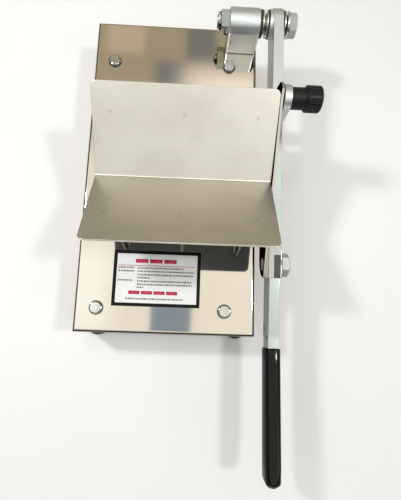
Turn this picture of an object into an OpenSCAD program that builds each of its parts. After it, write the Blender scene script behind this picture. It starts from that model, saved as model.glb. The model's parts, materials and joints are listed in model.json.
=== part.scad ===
// Lever-operated frozen meat slicer.
// Millimetres. X runs left to right, Y from the handle end to the pivot end, Z up from the table.
// Sizes are drawn about the middle of the base's top face and moved to the shared frame at the end.

/* [Base box] */
// Width of the base, left to right
base_w = 160; // [150:1:200]
// Depth of the base, front to rear
base_d = 306; // [290:1:360]
// Height of the folded box without its feet
base_h = 48; // [40:1:70]
// Thickness of the folded sheet
sheet_t = 1.5; // [1:0.1:2.5]
// Outside radius of the folds
bend_r = 3; // [2.6:0.1:6]
// Width of the inward lip along both sides of the open bottom
lip_w = 27; // [26:1:34]

/* [Feet] */
// Radius of a rubber foot
foot_r = 11; // [10:0.5:14]
// Height of a rubber foot
foot_h = 12; // [8:0.5:20]
// Distance of the feet from the base's sides
foot_inset_side = 11; // [11:0.5:16]
// Distance of the front feet from the base's front
foot_inset_front = 6.3; // [6.3:0.1:25]
// Distance of the rear feet from the base's rear
foot_inset_rear = 15; // [13:0.5:28]
// Radius of a foot screw's shank
foot_screw_r = 2.5; // [2:0.1:3]
// Height of a foot screw's head
foot_head_h = 3; // [2:0.2:4]
// Height of a foot nut
foot_nut_h = 4; // [3:0.2:5]
// Length of a foot screw past its sheet
foot_tail = 6; // [5:0.5:10]

/* [Base bolts and rails] */
// Distance of the left bolts from the base's side
bolt_inset_left = 19.6; // [14:0.2:30]
// Distance of the right bolts from the base's side
bolt_inset_right = 27.4; // [24:0.2:36]
// Distance of the rear bolts from the base's rear
bolt_inset_rear = 43.6; // [40:0.2:53]
// Distance of the front bolts from the base's front
bolt_inset_front = 21.4; // [13:0.2:33]
// Radius of a base bolt's shank
bolt_r = 3; // [2.5:0.1:4]
// Across-flats size of a base bolt's head
bolt_af = 10; // [8:0.5:13]
// Height of a base bolt's head
bolt_head_h = 4; // [3:0.2:6]
// Height of a base bolt's nut
bolt_nut_h = 5; // [4:0.2:6.5]
// Length of a base bolt past its rail
bolt_tail = 8; // [7:0.5:12]
// Width of the stiffening rails under the top
rail_w = 20; // [16:1:30]
// Thickness of the rails
rail_t = 5; // [3:0.5:8]

/* [Trough] */
// Distance of the trough's left end from the base's side
trough_inset = 19.6; // [5:0.2:40]
// Reach of the trough past the base's right side, to where the cut is made
trough_overhang = 5.9; // [5:0.1:6]
// Slope of each plate
trough_angle = 31; // [25:0.5:40]
// Length of each plate up its slope
plate_len = 72; // [60:1:78]
// Front-to-rear place of the valley
valley_y = -24; // [-30:0.5:-18]
// Height of the valley over the base
valley_z = 39.5; // [34:0.5:44]
// Thickness of the trough sheet
trough_t = 1.5; // [1:0.1:2]
// Inside radius of the trough's fold
trough_bend_r = 2; // [1.5:0.1:4]
// Radius of the trough's outer corners
trough_corner_r = 5; // [3:0.5:9]

/* [Trough ribs] */
// Distance of the left rib from the trough's left end
rib_inset_left = 14.4; // [6:0.2:22]
// Distance of the right rib from the trough's right end
rib_inset_right = 15.9; // [12:0.1:22]
// Thickness of a rib
rib_t = 2; // [1.5:0.1:3]
// Half width of a rib at the base
rib_half_low = 40; // [34:1:44]
// Half width of a rib under the plates
rib_half_high = 50; // [46:1:54]
// Width of a rib's foot flange
rib_flange_w = 16; // [14:0.5:20]
// Distance of the rib screws from the valley line
rib_screw_y = 28; // [20:1:34]
// Radius of a rib screw's shank
rib_screw_r = 2.5; // [2:0.1:3]
// Height of a rib screw's head
rib_head_h = 3; // [2:0.2:4]
// Height of a rib nut
rib_nut_h = 4; // [3:0.2:5]
// Length of a rib screw past its rib
rib_tail = 5; // [4.5:0.5:8]

/* [Label] */
// Width of the label
label_w = 78; // [60:1:84]
// Height of the label
label_d = 50; // [40:1:54]
// Left edge of the label
label_x = -47.5; // [-52:0.5:-40]
// Front edge of the label
label_y = -129.5; // [-130:0.5:-122]
// Thickness of the label sheet
label_t = 0.5; // [0.3:0.1:1]
// Width of the label's dark border
label_border = 3; // [2:0.2:5]

/* [Pivot] */
// Width of the post along the pivot
post_w = 29.1; // [26:0.1:31]
// Distance of the post from the base's right side
post_inset = 1.75; // [1:0.05:3]
// Radius of the post's rounded top
post_r = 13; // [11.5:0.5:14]
// Distance of the pivot from the base's rear
pivot_inset = 14.5; // [14:0.5:19]
// Height of the pivot over the base
pivot_z = 25.3; // [24:0.1:32]
// Radius of the screws that hold the post
post_screw_r = 3; // [2.5:0.1:3.5]
// Across-flats size of those screws' heads
post_screw_af = 10; // [8:0.5:11]
// Height of those screws' heads
post_screw_head_h = 4; // [3:0.5:6]
// Radius of the pivot bolt
pivot_r = 6; // [5:0.1:6.4]
// Across-flats size of the large bolts' heads
pivot_af = 19; // [16:0.5:20]
// Height of the large bolts' heads
pivot_head_h = 7.5; // [6:0.5:9]
// Thickness of a black friction washer
friction_t = 1.4; // [1.2:0.1:2]
// Radius of the friction washers
friction_r = 12; // [10:0.5:12.5]
// Height of one inner cup spring
cup_in_h = 2.4; // [1.8:0.1:2.8]
// Height of one outer cup spring
cup_out_h = 2; // [1.6:0.1:2.8]
// Thickness of a cup spring's sheet
cup_t = 1; // [0.8:0.1:1.4]
// Radius of the cup springs
cup_r = 12.3; // [10:0.1:12.5]

/* [Arm] */
// Thickness of the arm bar
arm_t = 9.1; // [8:0.1:10]
// Height of the boss on the eye's left side
eye_boss_h = 3; // [2:0.1:4]
// Radius of the arm's eye
eye_r = 13.5; // [12:0.5:14]
// Outside radius of the eye's bush
bush_r = 8; // [7.6:0.1:9]
// Front-to-rear place where the arm's bar meets the handle tang
arm_front_y = -150; // [-158:1:-146]
// Height of the bar's middle at that place
arm_front_z = 2; // [0:0.5:6]
// Half height of the bar at that place
arm_front_half = 11.25; // [10.5:0.25:13]
// Length of the tang inside the grip
tang_len = 115.7; // [100:0.1:130]
// Length over which the arm narrows to the tang
tang_taper = 4; // [3:1:8]
// Half height of the tang
tang_half = 10; // [8:0.5:10.5]
// Upward tilt of the tang
tang_tilt = 1; // [0:0.5:6]
// Wall of the grip around the tang
grip_wall = 1.75; // [0.8:0.05:3]
// Part of the tang left bare behind the grip
tang_bare = 11.5; // [5:0.5:20]
// Corner radius of the grip
grip_round = 3.6; // [2:0.2:4]

/* [Blade] */
// Gap between the trough's end and the blade
blade_gap = 0.5; // [0.4:0.1:1]
// Thickness of the blade
blade_t = 2; // [1.8:0.1:2.6]
// Front end of the blade
blade_front_y = -100.2; // [-102:0.2:-98]
// Rear end of the blade at its heel
blade_rear_y = 56; // [52:0.5:58]
// Length of the blade's rounded nose
nose_len = 17.2; // [12:0.2:20]
// Height of the cutting edge behind the nose
edge_front_z = -13.5; // [-16:0.5:-12]
// Height of the cutting edge at the heel
edge_rear_z = -9; // [-12:0.5:-8]
// Radius of the blade's top corner around the pin
blade_top_r = 11.6; // [11:0.1:13]
// Slope of the blade's back
spine_angle = 26.95; // [25:0.05:28]
// Height of the ground bevel along the cutting edge
bevel_h = 8; // [5:0.5:12]
// Thickness left at the cutting edge
edge_t = 0.3; // [0.2:0.1:0.6]

/* [Front bolt and clip] */
// Front-to-rear place of the blade's front bolt
front_bolt_y = -88; // [-92:0.5:-84]
// Height of the blade's front bolt
front_bolt_z = 0.5; // [-1:0.1:2]
// Radius of the arm's boss around that bolt
front_boss_r = 11.5; // [10:0.5:13]
// Width of the folded clip over the arm
clip_w = 28; // [18:0.5:30]
// Thickness of the clip sheet
clip_t = 1; // [0.9:0.1:1.5]
// Radius of the front bolt's threaded end
front_thread_r = 4; // [3:0.1:4.2]
// Radius of the flush nut in the blade
blade_nut_r = 5.5; // [5:0.1:6]
// Thickness of the plain washer
front_washer_t = 1.5; // [1:0.1:3]
// Thickness of the lock washer
front_lock_t = 1.6; // [1.2:0.1:3]

/* [Pull pin] */
// Front-to-rear place of the pin
pin_y = 37; // [36:0.2:38]
// Height of the pin
pin_z = 66; // [64:0.2:67]
// Radius of the arm's lug around the pin
lug_r = 10.3; // [9:0.1:11]
// Thickness of the lug
lug_t = 5.6; // [5:0.1:8]
// Radius of the pin
pin_r = 3; // [2.5:0.1:3.2]
// Radius of the pin's collar
pin_collar_r = 4.35; // [4:0.05:4.6]
// Radius of the pin spring's wire
spring_wire_r = 0.4; // [0.25:0.05:0.45]
// Turns of the pin spring
spring_turns = 3; // [2:1:4]
// Outside radius of the pin's steel sleeve
sleeve_r = 6; // [5.4:0.1:6.5]
// Radius of the knob's neck
neck_r = 8.6; // [8:0.1:9]
// Radius of the knob's knurled head
knob_r = 10.4; // [9.5:0.1:12]
// Length of the neck
neck_len = 10.6; // [9:0.1:12]
// Length of the knurled head
knob_len = 10.6; // [9:0.1:16]
// Height of the domed end
dome_h = 2.5; // [1.5:0.1:4]
// Count of the knurls
knurls = 24; // [18:1:30]

/* [Arm rest] */
// Front-to-rear place of the rest
rest_y = 69; // [68:0.5:74]
// Width of the rest's bracket
rest_w = 16; // [12:0.5:16]
// Thickness of the bracket
rest_t = 3; // [2:0.5:4]
// Length of the bracket's leg down the wall
rest_leg = 28; // [24:1:34]
// Radius of the rest's screws
rest_screw_r = 2.5; // [2:0.1:3]
// Height of their heads
rest_head_h = 3; // [2:0.2:4]
// Height of their nuts
rest_nut_h = 4; // [3:0.2:5]
// Length of a rest screw past the wall
rest_tail = 6; // [5:0.5:10]
// Radius of the rubber bumper
bumper_r = 6.5; // [5:0.5:7]

/* [Clearances] */
// Radial play of a turning or sliding fit
run_play = 0.05; // [0.02:0.01:0.09]
// Radial play of a screw in its plain hole
hole_play = 0.3; // [0.2:0.05:0.5]
// Gap between faces that turn past each other
face_gap = 0.2; // [0.1:0.05:0.4]
// Gap between the arm and its bumper at rest
rest_gap = 0.3; // [0.2:0.05:0.5]

/* [Hidden] */
$fn = 64;
eps = 0.02;
base_top = base_h + foot_h;
foot_x = base_w / 2 - foot_inset_side;
foot_y_front = base_d / 2 - foot_inset_front;
foot_y_rear = base_d / 2 - foot_inset_rear;
bolt_x_left = bolt_inset_left - base_w / 2;
bolt_x_right = base_w / 2 - bolt_inset_right;
bolt_y_rear = base_d / 2 - bolt_inset_rear;
bolt_y_front = bolt_inset_front - base_d / 2;
trough_left = trough_inset - base_w / 2;
trough_right = base_w / 2 + trough_overhang;
rib_left_x = trough_left + rib_inset_left;
rib_right_x = trough_right - rib_inset_right;
rib_middle_x = (rib_left_x + rib_right_x) / 2;
pivot_y = base_d / 2 - pivot_inset;
post_right = base_w / 2 - post_inset;
post_left = post_right - post_w;
blade_left = trough_right + blade_gap;
blade_right = blade_left + blade_t;
arm_left = blade_right + clip_t;
arm_right = arm_left + arm_t;
arm_run = pivot_y - arm_front_y;
arm_slope = atan2(pivot_z - arm_front_z, arm_run);
top_slope = atan2(pivot_z + eye_r - arm_front_z - arm_front_half, arm_run);
eye_left = arm_left - eye_boss_h;
inner_gap = eye_left - face_gap - post_right;
inner_pad = inner_gap - friction_t - 2 * cup_in_h;
outer_start = arm_right + face_gap;
outer_cups = outer_start + friction_t;
pivot_head_x = outer_cups + 2 * cup_out_h + 1.2;
post_plate_t = 4;
post_screw_depth = pivot_z - pivot_r - 4;
nut_h = 8;
nut_collar_h = 2;
pivot_end_x = post_left - nut_h - nut_collar_h - 1.2;
front_head_x = arm_right + clip_t + front_washer_t + front_lock_t;
lug_right = arm_left + lug_t;
knob_x = lug_right + 0.4;
knob_flare = knob_r - neck_r;
knob_end_x = knob_x + neck_len + knob_flare + knob_len + dome_h;
sleeve_end_x = knob_x + 6.5;
sleeve_step_x = sleeve_end_x - 2.5;
collar_t = 2;
collar_x = arm_left + 0.6;
spring_x = collar_x + collar_t + 0.1;
spring_len = sleeve_step_x - 0.1 - spring_x;
spring_mid_r = (pin_r + pin_collar_r + run_play) / 2;
spring_sides = 6;
spring_rings = spring_turns * 12;
pin_tip_x = blade_left + 0.2;
pin_end_x = knob_x + neck_len + 6;
grip_half_w = arm_t / 2 + grip_wall;
grip_half_h = tang_half + grip_wall;
arm_mid_x = (arm_left + arm_right) / 2;
grip_end_y = arm_front_y - (tang_len + grip_half_w) * cos(tang_tilt) - grip_half_h * sin(tang_tilt);
frame_x = (knob_end_x - base_w / 2) / 2;
frame_y = (base_d / 2 + grip_end_y) / 2;
spine_z0 = 4.8;
steel = [0.80, 0.81, 0.80];
zinc = [0.86, 0.86, 0.82];
paint = [0.72, 0.75, 0.74];
black = [0.06, 0.06, 0.06];
bronze = [0.70, 0.53, 0.30];

// Placing helpers

module framed() {
    translate([-frame_x, -frame_y, base_top]) children();
}

module along_x(x, y, z) {
    translate([x, y, z]) rotate([0, 90, 0]) children();
}

module side_plate(x, t, points) {
    translate([x, 0, 0]) rotate([90, 0, 90]) linear_extrude(height = t) polygon(points);
}

module ring(r_out, r_in, h) {
    difference() {
        cylinder(h = h, r = r_out);
        translate([0, 0, -1]) cylinder(h = h + 2, r = r_in);
    }
}

module hexagon(af, h) {
    cylinder(h = h, r = af / 2 / cos(30), $fn = 6);
}

module hex_head(af, h) {
    intersection() {
        hexagon(af, h);
        union() {
            cylinder(h = h - 1, r = af);
            translate([0, 0, h - 1]) cylinder(h = 1, r1 = af / 2 / cos(30) + 0.2, r2 = af * 0.43);
        }
    }
}

module hex_nut(af, h, r_in) {
    difference() {
        hexagon(af, h);
        translate([0, 0, -1]) cylinder(h = h + 2, r = r_in);
    }
}

function bolt_places() = [
    [bolt_x_left, bolt_y_rear], [bolt_x_right, bolt_y_rear],
    [bolt_x_left, bolt_y_front], [bolt_x_right, bolt_y_front]
];

function foot_places() = [
    [-foot_x, -foot_y_front], [foot_x, -foot_y_front],
    [-foot_x, foot_y_rear], [foot_x, foot_y_rear]
];

// Each rib as its place and the side its foot flange points to
function ribs() = [[rib_left_x, 1], [rib_middle_x, 1], [rib_right_x, -1]];

function rib_screw_places() = [
    for (rib = ribs(), side = [-1, 1])
        [rib[0] + rib[1] * (rib_flange_w / 2 + rib_t / 2), valley_y + side * rib_screw_y]
];

function post_screw_places() = [
    [post_left + post_w * 0.22, pivot_y], [post_left + post_w * 0.68, pivot_y]
];

function rest_screw_heights() = [-rest_leg * 0.42, -rest_leg * 0.8];

// A point of the tang, seen from the side, by its distance along the tang and above its middle
function tang_point(along, up) = [
    arm_front_y - along * cos(tang_tilt) + up * sin(tang_tilt),
    arm_front_z + along * sin(tang_tilt) + up * cos(tang_tilt)
];

// Half height of the arm's bar at a place along it
function arm_half(y) = arm_front_half + (eye_r - arm_front_half) * (y - arm_front_y) / arm_run;

// Height of the arm's middle line at a place along it
function arm_mid(y) = arm_front_z + (y - arm_front_y) * tan(arm_slope);

// Height of the blade's back at a place along it
function spine(y) = spine_z0 + (y - blade_front_y) * tan(spine_angle);

// Base

// A bar along Y whose two upper edges are round
module bent_bar(w, l, h, r) {
    translate([-w / 2, -l / 2, -h]) cube([w, l, h - r]);
    translate([-w / 2 + r, -l / 2, -h]) cube([w - 2 * r, l, h]);
    for (x = [-1, 1])
        translate([x * (w / 2 - r), -l / 2, -r]) rotate([-90, 0, 0]) cylinder(h = l, r = r);
}

// A box with folded upper edges, mitred front corners and round rear corners
module folded_box(w, d, h, r) {
    difference() {
        intersection() {
            bent_bar(w, d, h, r);
            rotate([0, 0, 90]) bent_bar(d, w, h, r);
        }
        for (side = [-1, 1])
            translate([side * (w / 2 - r), d / 2 - r, -h - 1]) difference() {
                translate([side < 0 ? -r - 1 : 0, 0, 0]) cube([r + 1, r + 1, h + 2]);
                cylinder(h = h + 2, r = r);
            }
    }
}

module base_shell() {
    inner_r = bend_r - sheet_t;
    color(steel) framed() difference() {
        union() {
            difference() {
                folded_box(base_w, base_d, base_h, bend_r);
                translate([0, 0, -sheet_t])
                    folded_box(base_w - 2 * sheet_t, base_d - 2 * sheet_t, base_h, inner_r);
            }
            for (side = [-1, 1])
                translate([side * (base_w / 2 - sheet_t / 2 - lip_w / 2) - lip_w / 2, -base_d / 2 + sheet_t / 2, -base_h])
                    cube([lip_w, base_d - sheet_t, sheet_t]);
        }
        for (p = bolt_places())
            translate([p[0], p[1], -10]) cylinder(h = 20, r = bolt_r + hole_play);
        for (p = rib_screw_places())
            translate([p[0], p[1], -10]) cylinder(h = 20, r = rib_screw_r + hole_play);
        for (p = post_screw_places())
            translate([p[0], p[1], -10]) cylinder(h = 20, r = post_screw_r + hole_play);
        for (p = foot_places())
            translate([p[0], p[1], -base_h - 5]) cylinder(h = 10, r = foot_screw_r + hole_play);
        for (z = rest_screw_heights())
            along_x(base_w / 2 - 10, rest_y, z) cylinder(h = 20, r = rest_screw_r + hole_play);
    }
}

module base_rails() {
    rail_half = base_w / 2 - sheet_t - 3;
    color(zinc) framed() for (y = [bolt_y_front, bolt_y_rear])
        difference() {
            translate([-rail_half, y - rail_w / 2, -sheet_t - rail_t]) cube([2 * rail_half, rail_w, rail_t]);
            for (x = [bolt_x_left, bolt_x_right])
                translate([x, y, -sheet_t - rail_t - 1]) cylinder(h = rail_t + 2, r = bolt_r + hole_play);
        }
}

module base_bolts() {
    color(zinc) framed() for (p = bolt_places())
        translate([p[0], p[1], 0]) {
            hex_head(bolt_af, bolt_head_h);
            translate([0, 0, -sheet_t - rail_t - bolt_tail])
                cylinder(h = sheet_t + rail_t + bolt_tail + eps, r = bolt_r);
        }
}

module base_nuts() {
    color(zinc) framed() for (p = bolt_places())
        translate([p[0], p[1], -sheet_t - rail_t - bolt_nut_h]) hex_nut(bolt_af, bolt_nut_h, bolt_r);
}

module foot_pads() {
    color(black) framed() for (p = foot_places())
        translate([p[0], p[1], -base_top]) difference() {
            union() {
                cylinder(h = foot_h * 0.7, r = foot_r);
                translate([0, 0, foot_h * 0.7 - eps]) cylinder(h = foot_h * 0.3 + eps, r1 = foot_r, r2 = foot_r - 1.5);
            }
            translate([0, 0, -1]) cylinder(h = foot_h * 0.5 + 1, r = foot_screw_r * 2.1);
            cylinder(h = foot_h + 1, r = foot_screw_r + hole_play);
        }
}

module foot_screws() {
    color(zinc) framed() for (p = foot_places())
        translate([p[0], p[1], -base_top + foot_h * 0.5]) {
            translate([0, 0, -foot_head_h]) cylinder(h = foot_head_h, r = foot_screw_r * 1.8);
            translate([0, 0, -eps]) cylinder(h = foot_h * 0.5 + sheet_t + foot_tail, r = foot_screw_r);
        }
}

module foot_nuts() {
    color(zinc) framed() for (p = foot_places())
        translate([p[0], p[1], -base_h + sheet_t]) hex_nut(foot_screw_r * 3.2, foot_nut_h, foot_screw_r);
}

// Pivot

module pivot_post() {
    color(paint) framed() difference() {
        union() {
            translate([post_left, pivot_y - post_r, 0]) cube([post_w, 2 * post_r, pivot_z]);
            along_x(post_left, pivot_y, pivot_z) cylinder(h = post_w, r = post_r);
        }
        along_x(post_left - 1, pivot_y, pivot_z) cylinder(h = post_w + 2, r = pivot_r + hole_play);
        for (p = post_screw_places())
            translate([p[0], p[1], -1]) cylinder(h = post_screw_depth + 2, r = post_screw_r);
    }
}

module post_plate() {
    color(zinc) framed() difference() {
        translate([post_left - 4, pivot_y - post_r, -sheet_t - post_plate_t])
            cube([post_w + 4 - bend_r - 1, 2 * post_r - bend_r + 1, post_plate_t]);
        for (p = post_screw_places())
            translate([p[0], p[1], -sheet_t - post_plate_t - 1])
                cylinder(h = post_plate_t + 2, r = post_screw_r + hole_play);
    }
}

module post_screws() {
    color(zinc) framed() for (p = post_screw_places())
        translate([p[0], p[1], -sheet_t - post_plate_t]) {
            translate([0, 0, -post_screw_head_h]) hexagon(post_screw_af, post_screw_head_h);
            translate([0, 0, -eps]) cylinder(h = sheet_t + post_plate_t + post_screw_depth, r = post_screw_r);
        }
}

module pivot_bolt() {
    color(zinc) framed() {
        along_x(pivot_end_x, pivot_y, pivot_z) cylinder(h = pivot_head_x - pivot_end_x + eps, r = pivot_r);
        along_x(pivot_head_x, pivot_y, pivot_z) hex_head(pivot_af, pivot_head_h);
    }
}

module pivot_nut() {
    color(zinc) framed() translate([post_left, pivot_y, pivot_z]) rotate([0, -90, 0]) difference() {
        union() {
            hex_head(pivot_af, nut_h);
            translate([0, 0, nut_h - eps]) cylinder(h = nut_collar_h + eps, r = pivot_af / 2 - 0.6);
        }
        translate([0, 0, -1]) cylinder(h = nut_h + nut_collar_h + 2, r = pivot_r);
    }
}

module friction_washers() {
    bore = pivot_r + hole_play;
    color(black) framed() {
        along_x(post_right, pivot_y, pivot_z) ring(friction_r, bore, inner_pad);
        along_x(eye_left - face_gap - friction_t, pivot_y, pivot_z) ring(friction_r, bore, friction_t);
        along_x(outer_start, pivot_y, pivot_z) ring(friction_r, bore, friction_t);
    }
}

// One cup spring, its rim towards +Z
module cup(h) {
    bore = pivot_r + hole_play;
    rotate_extrude()
        polygon([[bore, 0], [bore + 1.2, 0], [cup_r, h - cup_t], [cup_r, h], [cup_r - 1.2, h], [bore, cup_t]]);
}

module cup_pair(x, h) {
    along_x(x + h, pivot_y, pivot_z) mirror([0, 0, 1]) cup(h);
    along_x(x + h, pivot_y, pivot_z) cup(h);
}

module cup_springs() {
    color(steel) framed() {
        cup_pair(post_right + inner_pad, cup_in_h);
        cup_pair(outer_cups, cup_out_h);
    }
}

module pivot_washer() {
    color(zinc) framed() along_x(outer_cups + 2 * cup_out_h, pivot_y, pivot_z)
        ring(cup_r - 0.5, pivot_r + hole_play, 1.2);
}

// Trough

// Points of the fold at a radius, from one slope to the other
function fold_arc(r, from, to) = [
    for (i = [0:8])
        let (a = from + (to - from) * i / 8)
        [valley_y + r * sin(a), valley_z + trough_bend_r / cos(trough_angle) - r * cos(a)]
];

// Upper end of a plate at a depth into its sheet
function plate_end(side, depth) = [
    valley_y + side * (plate_len * cos(trough_angle) + depth * sin(trough_angle)),
    valley_z + plate_len * sin(trough_angle) - depth * cos(trough_angle)
];

// What is cut off to round the two upper corners of a plate
module plate_corners(side) {
    span = trough_right - trough_left;
    r = trough_corner_r;
    translate([trough_left, valley_y, valley_z]) rotate([side * trough_angle, 0, 0])
        mirror([0, side < 0 ? 1 : 0, 0])
            for (end = [0, 1])
                translate([end * span, plate_len, -trough_t - 1]) mirror([end, 0, 0]) difference() {
                    translate([-1, -r, 0]) cube([r + 1, r + 1, trough_t + 2]);
                    translate([r, -r, -1]) cylinder(h = trough_t + 4, r = r);
                }
}

module trough() {
    slope = trough_angle;
    color(steel) framed() difference() {
        side_plate(trough_left, trough_right - trough_left, concat(
            [plate_end(-1, 0)], fold_arc(trough_bend_r, -slope, slope), [plate_end(1, 0), plate_end(1, trough_t)],
            fold_arc(trough_bend_r + trough_t, slope, -slope), [plate_end(-1, trough_t)]
        ));
        plate_corners(1);
        plate_corners(-1);
    }
}

// One rib of the cradle: an upright plate under the V and a foot flange
module rib(x, side) {
    under = valley_z - trough_t / cos(trough_angle);
    high = under + rib_half_high * tan(trough_angle);
    difference() {
        union() {
            side_plate(x - rib_t / 2, rib_t, [
                [valley_y - rib_half_low, 0], [valley_y + rib_half_low, 0],
                [valley_y + rib_half_high, high], [valley_y, under], [valley_y - rib_half_high, high]
            ]);
            translate([side > 0 ? x - rib_t / 2 : x + rib_t / 2 - rib_flange_w, valley_y - rib_half_low, 0])
                cube([rib_flange_w, 2 * rib_half_low, rib_t]);
        }
        for (p = rib_screw_places())
            translate([p[0], p[1], -1]) cylinder(h = rib_t + 2, r = rib_screw_r + hole_play);
    }
}

module rib_left() {
    color(steel) framed() rib(rib_left_x, 1);
}

module rib_middle() {
    color(steel) framed() rib(rib_middle_x, 1);
}

module rib_right() {
    color(steel) framed() rib(rib_right_x, -1);
}

module rib_screws() {
    color(zinc) framed() for (p = rib_screw_places())
        translate([p[0], p[1], -sheet_t]) {
            translate([0, 0, -rib_head_h]) cylinder(h = rib_head_h, r = rib_screw_r * 1.8);
            translate([0, 0, -eps]) cylinder(h = sheet_t + rib_t + rib_tail, r = rib_screw_r);
        }
}

module rib_nuts() {
    color(zinc) framed() for (p = rib_screw_places())
        translate([p[0], p[1], rib_t]) hex_nut(rib_screw_r * 3.2, rib_nut_h, rib_screw_r);
}

// Label

module label_plate() {
    color([0.86, 0.86, 0.86]) framed() translate([label_x, label_y, 0]) cube([label_w, label_d, label_t]);
}

module label_frame() {
    color(black) framed() translate([label_x, label_y, label_t]) difference() {
        cube([label_w, label_d, 0.3]);
        translate([label_border, label_border, -1])
            cube([label_w - 2 * label_border, label_d - 2 * label_border, 3]);
    }
}

// Arm rest, a bracket on the right wall with a rubber bumper under the arm

function rest_top() = arm_mid(rest_y) - arm_half(rest_y) / cos(arm_slope) - bumper_r * tan(arm_slope) - rest_gap;

module rest_bracket() {
    reach = arm_right - base_w / 2;
    color(zinc) framed() difference() {
        union() {
            translate([base_w / 2, rest_y - rest_w / 2, -rest_leg]) cube([rest_t, rest_w, rest_leg]);
            translate([base_w / 2, rest_y - rest_w / 2, -rest_t]) cube([reach, rest_w, rest_t]);
        }
        for (z = rest_screw_heights())
            along_x(base_w / 2 - 1, rest_y, z) cylinder(h = rest_t + 2, r = rest_screw_r + hole_play);
    }
}

module rest_bumper() {
    color(black) framed() translate([arm_mid_x - 1, rest_y, 0]) cylinder(h = rest_top(), r = bumper_r);
}

module rest_screws() {
    color(zinc) framed() for (z = rest_screw_heights())
        along_x(base_w / 2 + rest_t, rest_y, z) {
            cylinder(h = rest_head_h, r = rest_screw_r * 1.8);
            translate([0, 0, -rest_t - sheet_t - rest_tail])
                cylinder(h = rest_t + sheet_t + rest_tail + eps, r = rest_screw_r);
        }
}

module rest_nuts() {
    color(zinc) framed() for (z = rest_screw_heights())
        along_x(base_w / 2 - sheet_t - rest_nut_h, rest_y, z)
            hex_nut(rest_screw_r * 3.2, rest_nut_h, rest_screw_r);
}

// Arm

module tang_frame() {
    translate([arm_mid_x, arm_front_y, arm_front_z]) rotate([-tang_tilt, 0, 0]) children();
}

module knife_arm() {
    color(paint) framed() difference() {
        union() {
            along_x(arm_left, pivot_y, pivot_z) cylinder(h = arm_t, r = eye_r);
            along_x(eye_left, pivot_y, pivot_z) cylinder(h = eye_boss_h + 1, r = eye_r - 0.7);
            side_plate(arm_left, arm_t, [
                [pivot_y, pivot_z + eye_r], [arm_front_y, arm_front_z + arm_front_half],
                tang_point(tang_taper, tang_half), tang_point(tang_len, tang_half),
                tang_point(tang_len, -tang_half), tang_point(tang_taper, -tang_half),
                [arm_front_y, arm_front_z - arm_front_half], [pivot_y, pivot_z - eye_r]
            ]);
            along_x(arm_left, front_bolt_y, front_bolt_z) cylinder(h = arm_t, r = front_boss_r);
            along_x(arm_left, pin_y, pin_z) cylinder(h = lug_t, r = lug_r);
            side_plate(arm_left, lug_t, [
                [pin_y - lug_r, pin_z], [pin_y - lug_r + 3, arm_mid(pin_y)],
                [pin_y + lug_r + 6, arm_mid(pin_y)], [pin_y + lug_r, pin_z]
            ]);
        }
        along_x(eye_left - 1, pivot_y, pivot_z) cylinder(h = eye_boss_h + arm_t + 2, r = bush_r);
        along_x(arm_left - 1, pin_y, pin_z) cylinder(h = arm_t + 2, r = sleeve_r);
        along_x(arm_left - 1, front_bolt_y, front_bolt_z) cylinder(h = arm_t + 2, r = pivot_r + hole_play);
    }
}

module arm_bush() {
    color(bronze) framed() along_x(eye_left, pivot_y, pivot_z)
        ring(bush_r, pivot_r + run_play, eye_boss_h + arm_t);
}

// Quarter of a rounded corner as points, from one side's direction to the next
function corner(cx, cy, r, from) = [
    for (i = [0:6]) [cx + r * cos(from + 15 * i), cy + r * sin(from + 15 * i)]
];

// The grip is its cross-section, run along the tang, inside its outline seen from above
module grip_body() {
    w = grip_half_w;
    h = grip_half_h;
    r = grip_round;
    intersection() {
        rotate([90, 0, 0]) linear_extrude(height = tang_len + w + 1)
            polygon(concat(
                corner(w - r, h - r, r, 0), corner(-w + r, h - r, r, 90),
                corner(-w + r, -h + r, r, 180), corner(w - r, -h + r, r, 270)
            ));
        translate([0, 0, -h - 1]) linear_extrude(height = 2 * h + 2)
            polygon(concat(
                [[w, -tang_bare], [-w, -tang_bare]],
                corner(0, -tang_len, w, 180), corner(0, -tang_len, w, 270)
            ));
    }
}

module handle_grip() {
    color(black) framed() tang_frame() difference() {
        grip_body();
        translate([-arm_t / 2, -tang_len, -tang_half]) cube([arm_t, tang_len + 10, 2 * tang_half]);
    }
}

// Blade

// The rounded nose, from the blade's front end down to its cutting edge
function blade_nose() =
    let (drop = spine_z0 - edge_front_z)
    [
        for (a = [180:15:270])
            [blade_front_y + nose_len + nose_len * cos(a), spine_z0 + drop * sin(a)]
    ];

// The rear, which leans in from the heel to the top corner around the pin
function blade_rear() =
    let (top = [pin_y + blade_top_r, pin_z])
    [
        for (t = [0:0.2:0.8])
            [blade_rear_y - (blade_rear_y - top[0]) * t * t, edge_rear_z + (top[1] - edge_rear_z) * t]
    ];

function blade_top() = [for (a = [0:17:85]) [pin_y + blade_top_r * cos(a), pin_z + blade_top_r * sin(a)]];

function blade_outline() = concat(
    blade_nose(), blade_rear(), blade_top(), [[pin_y - lug_r / 2, spine(pin_y - lug_r / 2)]]
);

module blade() {
    edge_y = blade_front_y + nose_len;
    edge_slope = atan2(edge_rear_z - edge_front_z, blade_rear_y - edge_y);
    bevel_angle = atan2(blade_t - edge_t, bevel_h);
    reach = blade_rear_y - blade_front_y;
    color(steel) framed() difference() {
        side_plate(blade_left, blade_t, blade_outline());
        translate([blade_left + edge_t, edge_y, edge_front_z]) rotate([edge_slope, 0, 0]) rotate([0, bevel_angle, 0])
            translate([0, -2 * nose_len, -2 * bevel_h]) cube([4 * blade_t, 2 * reach, 3.3 * bevel_h]);
        along_x(blade_left - 1, front_bolt_y, front_bolt_z) cylinder(h = blade_t + 2, r = blade_nut_r);
        along_x(blade_left - 1, pin_y, pin_z) cylinder(h = blade_t + 2, r = pin_r + 2 * run_play);
    }
}

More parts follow.
